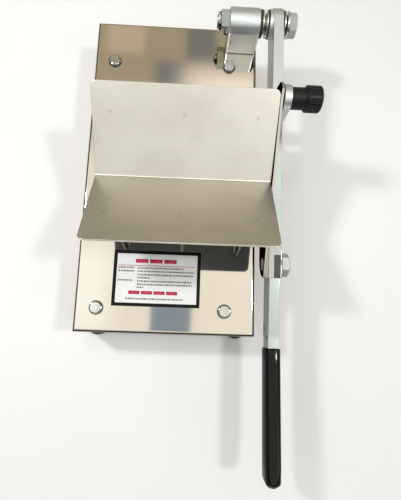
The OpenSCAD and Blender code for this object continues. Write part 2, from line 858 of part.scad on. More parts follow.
module blade_clip() {
    top = arm_mid(front_bolt_y) + arm_half(front_bolt_y) / cos(top_slope);
    drop = top - front_bolt_z + 9;
    color(steel) framed() difference() {
        translate([arm_left - clip_t, front_bolt_y, top]) rotate([top_slope, 0, 0]) translate([0, -clip_w / 2, 0]) {
            translate([0, 0, -drop]) cube([clip_t, clip_w, drop + clip_t]);
            translate([arm_t + clip_t, 0, -drop]) cube([clip_t, clip_w, drop + clip_t]);
            cube([arm_t + 2 * clip_t, clip_w, clip_t]);
        }
        along_x(arm_left - 5, front_bolt_y, front_bolt_z) cylinder(h = 6, r = blade_nut_r + hole_play);
        along_x(arm_right - 1, front_bolt_y, front_bolt_z) cylinder(h = 6, r = pivot_r + hole_play);
    }
}

module blade_bolt() {
    color(zinc) framed() {
        along_x(blade_left + 0.3, front_bolt_y, front_bolt_z)
            cylinder(h = arm_left - blade_left, r = front_thread_r);
        along_x(arm_left, front_bolt_y, front_bolt_z) cylinder(h = front_head_x - arm_left + eps, r = pivot_r);
        along_x(front_head_x, front_bolt_y, front_bolt_z) hex_head(pivot_af, pivot_head_h);
    }
}

module blade_washer() {
    color(steel) framed() along_x(arm_right + clip_t, front_bolt_y, front_bolt_z)
        ring(pivot_af / 2 + 2.4, pivot_r + hole_play, front_washer_t);
}

module blade_lock_washer() {
    color(black) framed() along_x(arm_right + clip_t + front_washer_t, front_bolt_y, front_bolt_z)
        ring(pivot_af / 2 + 0.6, pivot_r + hole_play, front_lock_t);
}

module blade_nut() {
    color(zinc) framed() along_x(blade_left, front_bolt_y, front_bolt_z)
        ring(blade_nut_r, front_thread_r, arm_left - blade_left);
}

// Pull pin

module pin_sleeve() {
    color(zinc) framed() difference() {
        along_x(arm_left, pin_y, pin_z) cylinder(h = sleeve_end_x - arm_left, r = sleeve_r);
        along_x(arm_left - 1, pin_y, pin_z) cylinder(h = sleeve_step_x - arm_left + 1, r = pin_collar_r + run_play);
        along_x(arm_left - 1, pin_y, pin_z) cylinder(h = sleeve_end_x - arm_left + 2, r = pin_r + run_play);
    }
}

// One corner of the spring's wire: its ring along the helix and its side around the wire
function spring_corner(ring, side) =
    let (
        turn = 360 * spring_turns * ring / spring_rings,
        around = 360 * side / spring_sides,
        r = spring_mid_r + spring_wire_r * cos(around),
        rise = (spring_len - 2 * spring_wire_r) * ring / spring_rings
    )
    [r * cos(turn), r * sin(turn), spring_wire_r + rise + spring_wire_r * sin(around)];

// The two triangles between neighbouring corners of two rings
function spring_patch(ring, side) =
    let (
        next = (side + 1) % spring_sides,
        low = ring * spring_sides,
        high = low + spring_sides
    )
    [[low + side, high + side, low + next], [low + next, high + side, high + next]];

module pin_spring() {
    corners = [for (ring = [0:spring_rings], side = [0:spring_sides - 1]) spring_corner(ring, side)];
    walls = [
        for (ring = [0:spring_rings - 1], side = [0:spring_sides - 1], face = spring_patch(ring, side)) face
    ];
    last = spring_rings * spring_sides;
    start_cap = [for (side = [1:spring_sides - 2]) [0, side, side + 1]];
    end_cap = [for (side = [1:spring_sides - 2]) [last, last + side + 1, last + side]];
    color(steel) framed() along_x(spring_x, pin_y, pin_z)
        polyhedron(points = corners, faces = concat(walls, start_cap, end_cap));
}

module pull_knob() {
    neck_top = neck_len + knob_flare;
    color(black) framed() along_x(knob_x, pin_y, pin_z) difference() {
        union() {
            cylinder(h = neck_len + eps, r = neck_r);
            translate([0, 0, neck_len]) cylinder(h = knob_flare + eps, r1 = neck_r, r2 = knob_r);
            translate([0, 0, neck_top]) cylinder(h = knob_len, r = knob_r);
            translate([0, 0, neck_top + knob_len - eps]) cylinder(h = 1 + eps, r1 = knob_r, r2 = knob_r - 1);
            translate([0, 0, neck_top + knob_len + 1 - eps])
                cylinder(h = dome_h - 1 + eps, r1 = knob_r - 1, r2 = knob_r - 5);
        }
        for (i = [0:knurls - 1])
            rotate([0, 0, 360 * i / knurls]) translate([knob_r + 0.35, 0, neck_top + 1])
                cylinder(h = knob_len - 1.5, r = 0.75, $fn = 16);
        translate([0, 0, -1]) cylinder(h = sleeve_end_x - knob_x + 1.5, r = sleeve_r + 0.5);
        translate([0, 0, -1]) cylinder(h = pin_end_x - knob_x + 1, r = pin_r);
    }
}

module pull_pin() {
    color(zinc) framed() {
        along_x(pin_tip_x, pin_y, pin_z) cylinder(h = pin_end_x - pin_tip_x, r = pin_r);
        along_x(collar_x, pin_y, pin_z) cylinder(h = collar_t, r = pin_collar_r);
    }
}

base_shell();
base_rails();
base_bolts();
base_nuts();
foot_pads();
foot_screws();
foot_nuts();
pivot_post();
post_plate();
post_screws();
pivot_bolt();
pivot_nut();
friction_washers();
cup_springs();
pivot_washer();
trough();
rib_left();
rib_middle();
rib_right();
rib_screws();
rib_nuts();
label_plate();
label_frame();
rest_bracket();
rest_bumper();
rest_screws();
rest_nuts();
knife_arm();
arm_bush();
handle_grip();
blade();
blade_clip();
blade_bolt();
blade_washer();
blade_lock_washer();
blade_nut();
pin_sleeve();
pin_spring();
pull_knob();
pull_pin();
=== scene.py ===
"""Looks of a lever-operated frozen meat slicer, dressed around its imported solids. Metres, +Z up."""

import json
import logging
import math
import random
from collections.abc import Callable, Iterable
from dataclasses import dataclass, field
from enum import Enum

import bmesh
import bpy
from mathutils import Matrix, Vector


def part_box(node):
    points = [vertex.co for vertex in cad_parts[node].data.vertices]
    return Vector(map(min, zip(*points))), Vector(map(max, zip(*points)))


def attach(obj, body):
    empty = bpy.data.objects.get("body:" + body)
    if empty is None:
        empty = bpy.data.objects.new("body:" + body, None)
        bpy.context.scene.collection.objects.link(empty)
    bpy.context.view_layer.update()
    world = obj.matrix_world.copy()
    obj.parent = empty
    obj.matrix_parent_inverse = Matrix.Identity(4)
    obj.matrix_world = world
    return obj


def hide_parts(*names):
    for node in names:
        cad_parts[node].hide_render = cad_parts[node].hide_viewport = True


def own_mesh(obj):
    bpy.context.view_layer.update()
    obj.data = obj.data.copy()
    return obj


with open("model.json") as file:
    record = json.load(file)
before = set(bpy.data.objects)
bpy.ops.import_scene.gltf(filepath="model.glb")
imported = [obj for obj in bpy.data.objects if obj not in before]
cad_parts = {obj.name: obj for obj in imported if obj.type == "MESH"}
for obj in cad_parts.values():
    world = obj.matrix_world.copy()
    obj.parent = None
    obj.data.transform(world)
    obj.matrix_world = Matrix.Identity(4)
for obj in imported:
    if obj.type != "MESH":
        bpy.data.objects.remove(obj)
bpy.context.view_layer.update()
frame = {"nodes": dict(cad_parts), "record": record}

LOG = logging.getLogger("slicer")

MM = 0.001
# Points of a solid's mesh closer than this are one point.
WELD_GAP = 1e-6
# Faces that differ by less than this are one flat.
FLAT_ANGLE = math.radians(0.5)
# Edges sharper than this are eased.
HARD_ANGLE = math.radians(32)
# Turn from one corner of a hexagon to the next.
HEX_TURN = math.radians(60)
# Most of a noise pattern lies in this range.
NOISE_MIDDLE = (0.3, 0.7)
# Sockets of a mix node that carry its factor, its two colours and the mixed colour.
MIX_FACTOR = 0
MIX_FIRST = 6
MIX_SECOND = 7
MIX_RESULT = 2

Colour = tuple[float, float, float]
Point = tuple[float, float, float]
Span = tuple[float, float]
Edges = tuple[tuple[str, float], ...]
Material = bpy.types.Material
Piece = bpy.types.Object
Socket = bpy.types.NodeSocket
WorkMesh = bmesh.types.BMesh


class Body(Enum):
    """The rigid bodies that pieces ride on."""

    BASE = "base"
    ARM = "arm"
    KNOB = "knob"


class Axis(Enum):
    """The axes of the part's frame."""

    X = 0
    Y = 1
    Z = 2

    def stretch(self, along: float) -> Point:
        """Gives the texture scale that draws a pattern out along this axis."""
        return tuple(along if axis is self else 1.0 for axis in Axis)


class Graph:
    """A shader's node tree with short ways to draw patterns in it."""

    def __init__(self, tree: bpy.types.NodeTree, space: str) -> None:
        """Starts drawing in a tree, where patterns follow the coordinates named by space."""
        self.tree = tree
        self.coords = self.node("ShaderNodeTexCoord").outputs[space]

    def node(
        self, kind: str, inputs: dict[str | int, object] | None = None, **settings: object
    ) -> bpy.types.Node:
        """Adds a node.

        Args:
            kind: Blender's name of the node type.
            inputs: Sockets to link from or constants, by input name or number.
            settings: Properties to set on the node.

        Returns:
            The new node.
        """
        made = self.tree.nodes.new(kind)
        for key, value in settings.items():
            setattr(made, key, value)
        for key, value in (inputs or {}).items():
            self.feed(made.inputs[key], value)
        return made

    def feed(self, socket: Socket, value: object) -> None:
        """Links a socket to another, or sets its constant.

        Args:
            socket: The input that is fed.
            value: A socket to link from, or a constant.
        """
        if isinstance(value, Socket):
            self.tree.links.new(value, socket)
        elif socket.type == "RGBA":
            socket.default_value = (*value, 1.0)
        else:
            socket.default_value = value

    def noise(self, scale: float, detail: float, stretch: Point = (1, 1, 1)) -> Socket:
        """Gives a cloudy pattern.

        Args:
            scale: Repeats per metre.
            detail: Octaves of finer pattern.
            stretch: Extra scale of each axis, below one to draw the pattern out.

        Returns:
            A socket from 0 to 1, mostly near a half.
        """
        place = self.node("ShaderNodeMapping", {"Vector": self.coords, "Scale": stretch})
        inputs = {"Vector": place.outputs[0], "Scale": scale, "Detail": detail}
        return self.node("ShaderNodeTexNoise", inputs).outputs[0]

    def spread(self, value: Socket, low: float, high: float, to_low: float, to_high: float) -> Socket:
        """Eases a value from the range low to high into the range to_low to to_high."""
        inputs = {"Value": value, "From Min": low, "From Max": high, "To Min": to_low, "To Max": to_high}
        return self.node("ShaderNodeMapRange", inputs, interpolation_type="SMOOTHSTEP").outputs[0]

    def join(self, operation: str, first: object, second: object) -> Socket:
        """Joins two values with a math operation."""
        return self.node("ShaderNodeMath", {0: first, 1: second}, operation=operation).outputs[0]

    def blend(self, factor: object, first: object, second: object) -> Socket:
        """Mixes two colours by a factor."""
        inputs = {MIX_FACTOR: factor, MIX_FIRST: first, MIX_SECOND: second}
        return self.node("ShaderNodeMix", inputs, data_type="RGBA").outputs[MIX_RESULT]

    def fade(self, value: Socket, limits: Span, first: object, second: object) -> Socket:
        """Goes from one colour to another as a value rises between two limits."""
        return self.blend(self.spread(value, *limits, 0.0, 1.0), first, second)

    def between(self, value: Socket, low: float, high: float, soft: float) -> Socket:
        """Marks where a value lies between two limits.

        Args:
            value: What is tested.
            low: Lower limit.
            high: Upper limit.
            soft: Half the width of each limit's soft edge.

        Returns:
            A socket that is 1 between the limits and 0 outside.
        """
        rise = self.spread(value, low - soft, low + soft, 0.0, 1.0)
        fall = self.spread(value, high - soft, high + soft, 1.0, 0.0)
        return self.join("MULTIPLY", rise, fall)

    def near(self, point: Point, inner: float, outer: float) -> Socket:
        """Marks what lies near a point: 1 inside the inner radius and 0 past the outer one."""
        away = self.node("ShaderNodeVectorMath", {0: self.coords, 1: point}, operation="DISTANCE")
        return self.spread(away.outputs["Value"], inner, outer, 1.0, 0.0)

    def part(self, vector: Socket, axis: Axis) -> Socket:
        """Gives one part of a vector."""
        return self.node("ShaderNodeSeparateXYZ", {0: vector}).outputs[axis.value]


class Surface(Graph):
    """A principled material whose colour, roughness and relief come from object coordinates."""

    def __init__(self, name: str, sockets: dict[str, float | Colour]) -> None:
        """Starts the material.

        Args:
            name: Name of the material.
            sockets: Constants to set on the shader's own sockets.
        """
        self.material = bpy.data.materials.new(name)
        self.material.use_nodes = True
        super().__init__(self.material.node_tree, "Object")
        self.shader = self.tree.nodes["Principled BSDF"]
        for socket, value in sockets.items():
            self.feed(self.shader.inputs[socket], value)

    def normal_part(self, axis: Axis) -> Socket:
        """Gives how far a face looks along an axis, from -1 to 1."""
        return self.part(self.node("ShaderNodeNewGeometry").outputs["True Normal"], axis)

    def facing(self, axis: Axis, sign: int, low: float = 0.0, high: float = 0.3) -> Socket:
        """Marks faces that look along an axis, or against it if sign is -1, fading in from low to high."""
        return self.spread(self.normal_part(axis), low * sign, high * sign, 0.0, 1.0)

    def finish(
        self, colour: Socket, rough: object, relief: Socket | None = None, depth: float = 0.0
    ) -> Material:
        """Links the looks to the shader.

        Args:
            colour: Base colour.
            rough: Roughness socket or constant.
            relief: Height pattern from 0 to 1.
            depth: Height of that pattern, in metres.

        Returns:
            The finished material.
        """
        self.feed(self.shader.inputs["Base Color"], colour)
        self.feed(self.shader.inputs["Roughness"], rough)
        if relief is not None:
            bump = self.node("ShaderNodeBump", {"Height": relief, "Distance": depth, "Strength": 1.0})
            self.feed(self.shader.inputs["Normal"], bump.outputs[0])
        return self.material


class Finish:
    """What every finish can do."""

    def material(self, name: str) -> Material:
        """Makes the material under a name."""
        raise NotImplementedError


@dataclass(frozen=True)
class SheetSteel(Finish):
    """Stainless sheet with grain, smudges and heat-tint marks, and painted shade and dark reflections where
    given.
    """

    tint: Colour
    smudge: Colour
    rough: Span
    grain: Axis
    under: Colour | None = None
    # Colour of faces that look down: painted shade.
    """Colour of faces that look down."""
    # Round marks: heat tint where they are welds, painted shade where they ring bolts.
    spots: tuple[Point, ...] = ()
    spot_tint: Colour = (0.50, 0.45, 0.37)
    spot_r: Span = (0.3 * MM, 2.6 * MM)
    spot_share: float = 0.5
    fold: Colour | None = None
    # Colour of the rounded folds: a painted dark reflection.
    """Colour of the rounded folds, left dull by the press."""
    fold_rise: Span = (0.2, 0.95)
    """Upward part of the folds' normals."""
    fold_soft: float = 0.03
    # Colour of a painted dark reflection on an oblong of the faces that look up.
    dark_reflection: Colour = (0.10, 0.11, 0.105)
    dark_reflection_on: tuple[Point, Point] | None = None
    # Corners of an oblong, seen from above, that gets a painted dark reflection.
    """Corners of an oblong, seen from above, that is darkened by oxide."""
    dark_reflection_soft: float = 0.3 * MM
    smudge_on: Span = (0.35, 0.7)
    smudge_scale: float = 22
    grain_scale: float = 2600
    grain_stretch: float = 0.012
    grain_depth: float = 0.1e-6
    grain_share: float = 0.6
    """Share of the roughness that follows the grain; the rest follows the smudges."""

    def material(self, name: str) -> Material:
        """Makes the sheet's material.

        Args:
            name: Name of the material.

        Returns:
            The finished material.
        """
        surface = Surface(name, {"Metallic": 1.0})
        stretch = self.grain.stretch(self.grain_stretch)
        streaks = surface.noise(self.grain_scale, detail=2.0, stretch=stretch)
        clouds = surface.noise(self.smudge_scale, detail=4.0)
        colour = surface.fade(clouds, self.smudge_on, self.tint, self.smudge)
        # Round marks: heat tint at welds, painted shade round bolts.
        for spot in self.spots:
            mark = surface.near(spot, *self.spot_r)
            colour = surface.blend(surface.join("MULTIPLY", mark, self.spot_share), colour, self.spot_tint)
        # Painted dark reflection on the rounded folds.
        if self.fold is not None:
            folds = surface.between(surface.normal_part(Axis.Z), *self.fold_rise, self.fold_soft)
            colour = surface.blend(folds, colour, self.fold)
        # Painted dark reflection on an oblong.
        if self.dark_reflection_on is not None:
            colour = surface.blend(self.dark_reflection_mark(surface), colour, self.dark_reflection)
        # Painted shade on the faces that look down.
        if self.under is not None:
            colour = surface.blend(surface.facing(Axis.Z, -1), colour, self.under)
        wear = surface.join(
            "ADD",
            surface.join("MULTIPLY", streaks, self.grain_share),
            surface.join("MULTIPLY", clouds, 1 - self.grain_share),
        )
        rough = surface.spread(wear, *NOISE_MIDDLE, *self.rough)
        return surface.finish(colour, rough, streaks, self.grain_depth)

    def dark_reflection_mark(self, surface: Surface) -> Socket:
        """Marks the oblong of painted dark reflection on the faces that look up.

        Args:
            surface: The material that is drawn in.

        Returns:
            A socket that is 1 on the oblong and 0 elsewhere.
        """
        mark = surface.facing(Axis.Z, 1)
        for axis in (Axis.X, Axis.Y):
            low, high = (corner[axis.value] for corner in self.dark_reflection_on)
            inside = surface.between(surface.part(surface.coords, axis), low, high, self.dark_reflection_soft)
            mark = surface.join("MULTIPLY", mark, inside)
        return mark


@dataclass(frozen=True)
class PlatedSteel(Finish):
    """Bright plated or ground steel of small hardware."""

    tint: Colour
    stain: Colour
    rough: Span
    side: Colour | None = None
    # Colour of slanted and upright faces: painted shade.
    """Colour of slanted and upright faces, where grime stays."""
    top_rise: Span = (0.82, 0.96)
    # Upward part of the normal over which a side's painted shade gives way to the top's colour.
    """Upward part of the normal over which a side turns into a clean top."""
    stain_on: Span = (0.4, 0.75)
    stain_scale: float = 160
    speck_scale: float = 2200
    speck_depth: float = 1.5e-6

    def material(self, name: str) -> Material:
        """Makes the plating's material.

        Args:
            name: Name of the material.

        Returns:
            The finished material.
        """
        surface = Surface(name, {"Metallic": 1.0})
        clouds = surface.noise(self.stain_scale, detail=4.0)
        specks = surface.noise(self.speck_scale, detail=2.0)
        colour = surface.fade(clouds, self.stain_on, self.tint, self.stain)
        # Painted shade on slanted and upright faces.
        if self.side is not None:
            colour = surface.blend(surface.facing(Axis.Z, 1, *self.top_rise), self.side, colour)
        rough = surface.spread(specks, *NOISE_MIDDLE, *self.rough)
        return surface.finish(colour, rough, specks, self.speck_depth)


@dataclass(frozen=True)
class GroundBlade(Finish):
    """Blade steel ground across the edge, with a painted dark reflection on the side that faces the trough.
    """

    tint: Colour
    shade: Colour
    # Colour of the painted dark reflection on faces that look along -X.
    side: Colour
    rough: Span
    shade_on: Span = (0.35, 0.75)
    shade_scale: float = 30
    line_scale: float = 1800
    line_stretch: float = 0.02
    line_depth: float = 0.8e-6

    def material(self, name: str) -> Material:
        """Makes the blade's material.

        Args:
            name: Name of the material.

        Returns:
            The finished material.
        """
        # The painted dark reflection's colour also tints the reflections at flat angles.
        surface = Surface(name, {"Metallic": 1.0, "Anisotropic": 0.4, "Specular Tint": self.side})
        lines = surface.noise(self.line_scale, detail=2.0, stretch=Axis.Z.stretch(self.line_stretch))
        clouds = surface.noise(self.shade_scale, detail=4.0)
        colour = surface.fade(clouds, self.shade_on, self.tint, self.shade)
        # Painted dark reflection on the faces that look along -X.
        colour = surface.blend(surface.facing(Axis.X, -1), colour, self.side)
        rough = surface.spread(lines, *NOISE_MIDDLE, *self.rough)
        return surface.finish(colour, rough, lines, self.line_depth)


@dataclass(frozen=True)
class SilverPaint(Finish):
    """Satin silver-grey paint with fine flake, rubbed smoother and given painted shade towards the handle.
    """

    tint: Colour
    flake: Colour
    edge: Colour
    """Tint of faces seen at a flat angle."""
    handle_shade: Colour
    # Darker tint towards the handle: painted shade against the right lamp's glow there.
    """Tint towards the handle, where hands rub the paint."""
    # Span along Y over which the paint turns smoother with rubbing and takes the painted shade.
    rub_and_shade_y: Span = (-20 * MM, 110 * MM)
    rough: Span = (0.14, 0.32)
    """Roughness where the paint is worn and where it isn't."""
    flake_on: Span = (0.35, 0.7)
    flake_scale: float = 5200
    cloud_on: Span = (0.5, 0.8)
    cloud_share: float = 0.25
    cloud_scale: float = 35
    peel_scale: float = 420
    peel_depth: float = 3e-6

    def material(self, name: str) -> Material:
        """Makes the paint's material.

        Args:
            name: Name of the material.

        Returns:
            The finished material.
        """
        sockets = {"Metallic": 0.8, "Coat Weight": 0.12, "Coat Roughness": 0.15, "Specular Tint": self.edge}
        surface = Surface(name, sockets)
        flakes = surface.noise(self.flake_scale, detail=2.0)
        peel = surface.noise(self.peel_scale, detail=2.0)
        clouds = surface.noise(self.cloud_scale, detail=3.0)
        colour = surface.fade(flakes, self.flake_on, self.tint, self.flake)
        colour = surface.blend(
            surface.spread(clouds, *self.cloud_on, 0.0, self.cloud_share), colour, self.tint
        )
        along = surface.part(surface.coords, Axis.Y)
        # Painted shade towards the handle; the roughness changes over the same span.
        colour = surface.fade(along, self.rub_and_shade_y, self.handle_shade, colour)
        rough = surface.spread(along, *self.rub_and_shade_y, *self.rough)
        return surface.finish(colour, rough, peel, self.peel_depth)


@dataclass(frozen=True)
class BlackPlastic(Finish):
    """Black plastic or rubber: a dark body, faint dust and a grain in its skin."""

    tint: Colour
    dust: Colour
    rough: Span
    grain_scale: float
    grain_depth: float
    shine: float = 0.4
    ior: float = 1.5
    side_share: float = 1.0
    # Share of the shine that upright sides keep; below one, their reflections are dimmed as painted shade.
    """Share of the shine that upright sides, worn dull by hands, keep."""
    top_rise: Span = (0.35, 0.75)
    """Upward part of the normal over which a side turns into a top."""
    dust_on: Span = (0.5, 0.85)
    dust_scale: float = 60

    def material(self, name: str) -> Material:
        """Makes the plastic's material.

        Args:
            name: Name of the material.

        Returns:
            The finished material.
        """
        surface = Surface(name, {"IOR": self.ior})
        grain = surface.noise(self.grain_scale, detail=3.0)
        clouds = surface.noise(self.dust_scale, detail=4.0)
        colour = surface.fade(clouds, self.dust_on, self.tint, self.dust)
        rough = surface.spread(clouds, *NOISE_MIDDLE, *self.rough)
        # Painted shade: upright sides keep only a share of the shine.
        upper = surface.facing(Axis.Z, 1, *self.top_rise)
        gloss = surface.spread(upper, 0.0, 1.0, self.shine * self.side_share, self.shine)
        surface.feed(surface.shader.inputs["Specular IOR Level"], gloss)
        return surface.finish(colour, rough, grain, self.grain_depth)


@dataclass(frozen=True)
class PrintedFilm(Finish):
    """Printed plastic film: even ink with a faint mottle and a slight gloss."""

    tint: Colour
    mottle: Colour
    shine: float = 0.45
    rough: Span = (0.27, 0.40)
    mottle_on: Span = (0.4, 0.7)
    mottle_scale: float = 900
    mottle_depth: float = 2e-6
    cloud_scale: float = 40

    def material(self, name: str) -> Material:
        """Makes the film's material.

        Args:
            name: Name of the material.

        Returns:
            The finished material.
        """
        surface = Surface(name, {"Specular IOR Level": self.shine})
        mottle = surface.noise(self.mottle_scale, detail=3.0)
        clouds = surface.noise(self.cloud_scale, detail=3.0)
        colour = surface.fade(mottle, self.mottle_on, self.tint, self.mottle)
        rough = surface.spread(clouds, *NOISE_MIDDLE, *self.rough)
        return surface.finish(colour, rough, mottle, self.mottle_depth)


@dataclass
class Palette:
    """The materials of the part: one for each slot of the record, and those of extra pieces."""

    finishes: dict[str, Finish] = field(default_factory=dict)
    made: dict[str, Material] = field(default_factory=dict)
    slots: dict[str, str] = field(init=False)

    def __post_init__(self) -> None:
        """Reads which slot each node takes."""
        self.slots = {row["node"]: row["material_slot"] for row in frame["record"]["subparts"]}

    def material(self, name: str) -> Material:
        """Gives a finish's material, made at its first use.

        Args:
            name: Name of the finish.

        Returns:
            The material, under the same name.
        """
        if name not in self.made:
            self.made[name] = self.finishes[name].material(name)
        return self.made[name]

    def paint(self, piece: Piece, finish: str) -> None:
        """Gives a piece one material all over."""
        piece.data.materials.clear()
        piece.data.materials.append(self.material(finish))


@dataclass
class SubAssembly:
    """Pieces that ride on one body: solids to dress and meshes to build."""

    palette: Palette
    body: Body
    edges: Edges
    """Each solid's name with the width of its eased edges."""
    cast: tuple[str, ...] = ()
    """Solids whose wide rounding keeps its width past short edges."""

    def build(self) -> None:
        """Dresses the solids, then builds the extra meshes."""
        for node, width in self.edges:
            self.dress(node, width)
        self.add_meshes()

    def add_meshes(self) -> None:
        """Builds the meshes that the solids lack; none by default."""

    def dress(self, node: str, width: float) -> None:
        """Gives a solid its finish and eases its edges.

        Args:
            node: Name of the solid.
            width: Width of the eased edge.
        """
        piece = frame["nodes"][node]
        self.palette.paint(piece, self.palette.slots[node])
        mesh = piece.data
        if "custom_normal" in mesh.attributes:
            mesh.attributes.remove(mesh.attributes["custom_normal"])
        mesh.shade_smooth()
        weld = piece.modifiers.new("weld", "WELD")
        weld.merge_threshold = WELD_GAP
        flats = piece.modifiers.new("flats", "DECIMATE")
        flats.decimate_type = "DISSOLVE"
        flats.angle_limit = FLAT_ANGLE
        soften(piece, width, clamp=node not in self.cast)
        LOG.info("dressed %s", node)

    def add(self, piece: Piece, finish: str, slot: str, replaced: Iterable[str] = ()) -> None:
        """Puts a new piece on the body.

        Args:
            piece: The piece, in place.
            finish: Name of its finish.
            slot: The record's slot that the finish belongs to; not used.
            replaced: Solids that the piece stands for.
        """
        self.palette.paint(piece, finish)
        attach(piece, self.body.value)
        for node in replaced:
            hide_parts(node)
        LOG.info("built %s", piece.name)


def soften(piece: Piece, width: float, segments: int = 3, clamp: bool = True) -> None:
    """Rounds a piece's hard edges a little.

    Args:
        piece: The piece.
        width: Width of the rounding.
        segments: Steps across the rounding.
        clamp: Whether short edges narrow the rounding.
    """
    ease = piece.modifiers.new("ease", "BEVEL")
    ease.width = width
    ease.segments = segments
    ease.limit_method = "ANGLE"
    ease.angle_limit = HARD_ANGLE
    ease.use_clamp_overlap = clamp
    ease.miter_outer = "MITER_ARC"
    normals = piece.modifiers.new("normals", "WEIGHTED_NORMAL")
    normals.keep_sharp = False


def mesh_piece(name: str, draw: Callable[[WorkMesh], None]) -> Piece:
    """Makes an object from a drawing function.

    Args:
        name: Name of the piece.
        draw: Fills an empty bmesh, in the part's frame.

    Returns:
        The new object, linked to the scene.
    """
    mesh = bpy.data.meshes.new(name)
    work = bmesh.new()
    draw(work)
    bmesh.ops.recalc_face_normals(work, faces=work.faces)
    work.to_mesh(mesh)
    work.free()
    mesh.shade_smooth()
    piece = bpy.data.objects.new(name, mesh)
    bpy.context.scene.collection.objects.link(piece)
    return piece


def skin_rings(work: WorkMesh, rings: list[list[bmesh.types.BMVert]]) -> None:
    """Joins rings of equal length with quads and closes the first and the last.

    Args:
        work: Mesh that holds the rings' points.
        rings: The rings, in order.
    """
    for near, far in zip(rings, rings[1:]):
        for i, vert in enumerate(near):
            j = (i + 1) % len(near)
            work.faces.new((vert, near[j], far[j], far[i]))
    work.faces.new(rings[0])
    work.faces.new(rings[-1])


def add_slab(work: WorkMesh, low: Point, high: Point) -> None:
    """Adds a small box between two corners.

    Args:
        work: Mesh that is drawn into.
        low: Lowest corner.
        high: Highest corner.
    """
    size = Vector(high) - Vector(low)
    place = Matrix.Translation((Vector(low) + Vector(high)) / 2) @ Matrix.Diagonal((*size, 1))
    bmesh.ops.create_cube(work, size=1.0, matrix=place)


@dataclass
class DippedGrip:
    """The plastic grip, dipped over the flat tang: thick, smooth and round at its end."""

    node: str = "handle_grip"
    tilt: float = math.radians(1)
    half_w: float = 6.3 * MM
    half_h: float = 11.75 * MM
    corner_r: float = 4.2 * MM
    mouth_r: float = 1.2 * MM
    mouth_cap: float = 1.6 * MM
    """How far the cap in the mouth stays in from the grip's sides."""
    mouth_from_root: float = 11.5 * MM
    end_from_root: float = 122 * MM
    nose_len: float = 7 * MM
    tip_half_w: float = 0.15 * MM
    tip_half_h: float = 0.3 * MM
    corner_steps: int = 6
    mouth_steps: int = 4
    side_steps: int = 9
    nose_steps: int = 9

    def root(self) -> Matrix:
        """Gives the frame at the tang's root.

        Returns:
            The frame's matrix, its -Y along the grip.
        """
        low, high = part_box(self.node)
        end = -self.end_from_root * math.cos(self.tilt) - self.half_h * math.sin(self.tilt)
        top = self.end_from_root * math.sin(self.tilt) + self.half_h * math.cos(self.tilt)
        place = Vector(((low.x + high.x) / 2, low.y - end, high.z - top))
        return Matrix.Translation(place) @ Matrix.Rotation(-self.tilt, 4, "X")

    def section(self, half_w: float, half_h: float, corner: float) -> list[tuple[float, float]]:
        """Gives a rounded rectangle's points.

        Args:
            half_w: Half its width.
            half_h: Half its height.
            corner: Radius of its corners.

        Returns:
            Points around the section, the same count whatever the sizes.
        """
        r = min(corner, half_w, half_h)
        points = []
        for quarter, (sx, sz) in enumerate(((1, 1), (-1, 1), (-1, -1), (1, -1))):
            for step in range(self.corner_steps + 1):
                a = math.radians(90 * quarter + 90 * step / self.corner_steps)
                points.append((sx * (half_w - r) + r * math.cos(a), sz * (half_h - r) + r * math.sin(a)))
        return points

    def stations(self) -> list[tuple[float, float, float, float]]:
        """Gives the rings that the grip is drawn with.

        Returns:
            Each ring's place along the grip, half its width, half its height and its corner radius.
        """
        rows = [(self.mouth_from_root + self.mouth_r, self.mouth_cap, self.mouth_cap, self.corner_r)]
        for step in range(self.mouth_steps + 1):
            a = math.radians(90 * step / self.mouth_steps)
            drop = self.mouth_r * (1 - math.sin(a))
            along = self.mouth_from_root + self.mouth_r * (1 - math.cos(a))
            rows.append((along, drop, drop, self.corner_r))
        nose_from_root = self.end_from_root - self.nose_len
        side_len = nose_from_root - self.mouth_from_root
        for step in range(1, self.side_steps):
            along = self.mouth_from_root + self.mouth_r + side_len * step / self.side_steps
            rows.append((along, 0, 0, self.corner_r))
        for step in range(1, self.nose_steps + 1):
            a = math.radians(90 * step / self.nose_steps)
            along = nose_from_root + self.nose_len * math.sin(a)
            shrink = 1 - math.cos(a)
            corner = self.corner_r + (self.half_w - self.corner_r) * math.sin(a)
            rows.append((along, self.half_w * shrink, self.half_h * shrink, corner))
        rings = []
        for along, side, rise, corner in rows:
            half_w = max(self.half_w - side, self.tip_half_w)
            half_h = max(self.half_h - rise, self.tip_half_h)
            rings.append((along, half_w, half_h, corner))
        return rings

    def draw(self, work: WorkMesh) -> None:
        """Draws the grip as rings along the tang.

        Args:
            work: Mesh that is drawn into.
        """
        place = self.root()
        rings = []
        for along, half_w, half_h, corner in self.stations():
            points = self.section(half_w, half_h, corner)
            rings.append([work.verts.new(place @ Vector((x, -along, z))) for x, z in points])
        skin_rings(work, rings)


